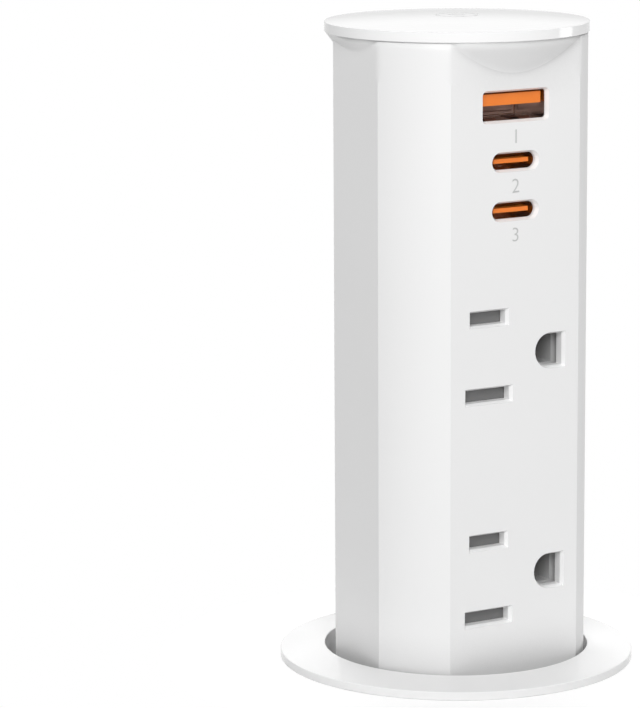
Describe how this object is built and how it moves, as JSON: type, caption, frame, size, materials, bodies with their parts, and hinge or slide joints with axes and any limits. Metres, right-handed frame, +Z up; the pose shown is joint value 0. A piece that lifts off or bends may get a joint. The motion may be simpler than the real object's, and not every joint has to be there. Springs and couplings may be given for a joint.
{
  "type": "pop-up desk socket",
  "caption": "Round spring-raised column with grounded outlets and charging ports that slides out of a flanged, threaded barrel clamped in a desktop hole.",
  "frame": {"origin": "on the barrel's axis, in the plane of the flange's underside, which is the upper face of the desktop", "axes": "+Z up along the column's travel, -Y the way the socket face looks, +X to the right of someone facing the sockets"},
  "size_m": [0.0606, 0.0606, 0.2599],
  "materials": {
    "white_gloss": "gloss moulded",
    "white_satin": "satin moulded",
    "white_rough": "plain moulded",
    "grey_plastic": "satin moulded",
    "dark_plastic": "satin moulded",
    "orange_plastic": "satin moulded",
    "natural_acetal": "satin moulded",
    "rubber": "matt",
    "spring_steel": "drawn wire",
    "zinc_steel": "zinc plated",
    "shell_steel": "nickel plated sheet",
    "brass": "rolled strip",
    "tinned_brass": "tinned strip",
    "board_green": "solder mask",
    "winding_tape": "taped winding and core",
    "capacitor_sleeve": "shrunk sleeve"
  },
  "bodies": {
    "housing": {"flange_ring": "white_gloss", "flange_gasket": "rubber", "barrel": "white_satin", "bottom_cap": "white_rough", "rack": "natural_acetal", "lift_spring": "spring_steel", "latch_case": "dark_plastic", "latch_pins": "zinc_steel"},
    "column": {"top_cap": "white_gloss", "front_shell": "white_satin", "rear_cover": "white_satin", "foot": "white_rough", "foot_screws": "zinc_steel", "latch_striker": "natural_acetal", "cord_gland": "dark_plastic", "damper_body": "dark_plastic", "damper_screws": "zinc_steel", "outlet_carrier": "grey_plastic", "hot_bus": "brass", "neutral_bus": "tinned_brass", "ground_bus": "brass", "terminal_screws": "zinc_steel", "shutter_spring_upper": "spring_steel", "shutter_spring_lower": "spring_steel", "usb_board": "board_green", "board_screws": "zinc_steel", "usb_a_shell": "shell_steel", "usb_a_tongue": "orange_plastic", "usb_c_shells": "shell_steel", "usb_c_tongues": "orange_plastic", "transformer": "winding_tape", "capacitors": "capacitor_sleeve"},
    "pinion": {"damper_pinion": "natural_acetal"},
    "upper_shutter": {"shutter_upper": "grey_plastic"},
    "lower_shutter": {"shutter_lower": "grey_plastic"},
    "left_jaw": {"latch_jaw_left": "natural_acetal"},
    "right_jaw": {"latch_jaw_right": "natural_acetal"},
    "washer": {"clamp_washer": "white_rough"},
    "nut": {"lock_nut": "white_rough"}
  },
  "joints": [
    {"name": "column_slide", "type": "slide", "parent": "housing", "child": "column", "axis": [0, 0, 1], "range_m": [-0.108, 0], "stiffness_N_per_m": 45, "springref_m": 0.06, "deforming": ["lift_spring"]},
    {"name": "pinion_turn", "type": "hinge", "parent": "column", "child": "pinion", "pos_m": [0, 0.0136, -0.015], "axis": [1, 0, 0], "range_deg": [-2, 1549]},
    {"name": "upper_shutter_slide", "type": "slide", "parent": "column", "child": "upper_shutter", "axis": [0, 0, 1], "range_m": [0, 0.003], "stiffness_N_per_m": 60, "springref_m": -0.004, "deforming": ["shutter_spring_upper"]},
    {"name": "lower_shutter_slide", "type": "slide", "parent": "column", "child": "lower_shutter", "axis": [0, 0, 1], "range_m": [0, 0.003], "stiffness_N_per_m": 60, "springref_m": -0.004, "deforming": ["shutter_spring_lower"]},
    {"name": "left_jaw_turn", "type": "hinge", "parent": "housing", "child": "left_jaw", "pos_m": [-0.0043, -0.0098, -0.1426], "axis": [0, 1, 0], "range_deg": [0, 22], "stiffness_Nm_per_rad": 0.00002},
    {"name": "right_jaw_turn", "type": "hinge", "parent": "housing", "child": "right_jaw", "pos_m": [0.0043, -0.0098, -0.1426], "axis": [0, -1, 0], "range_deg": [0, 22], "stiffness_Nm_per_rad": 0.00002},
    {"name": "washer_slide", "type": "slide", "parent": "housing", "child": "washer", "axis": [0, 0, 1], "range_m": [-0.028, 0.017]},
    {"name": "nut_turn", "type": "hinge", "parent": "washer", "child": "nut", "pos_m": [0, 0, -0.03], "axis": [0, 0, 1], "range_deg": [-2518, 1528]}
  ],
  "couplings": [
    {"joint": "pinion_turn", "follows": "column_slide", "rad_per_m": -250},
    {"joint": "right_jaw_turn", "follows": "left_jaw_turn", "ratio": 1},
    {"joint": "washer_slide", "follows": "nut_turn", "m_per_rad": 0.00063662}
  ]
}
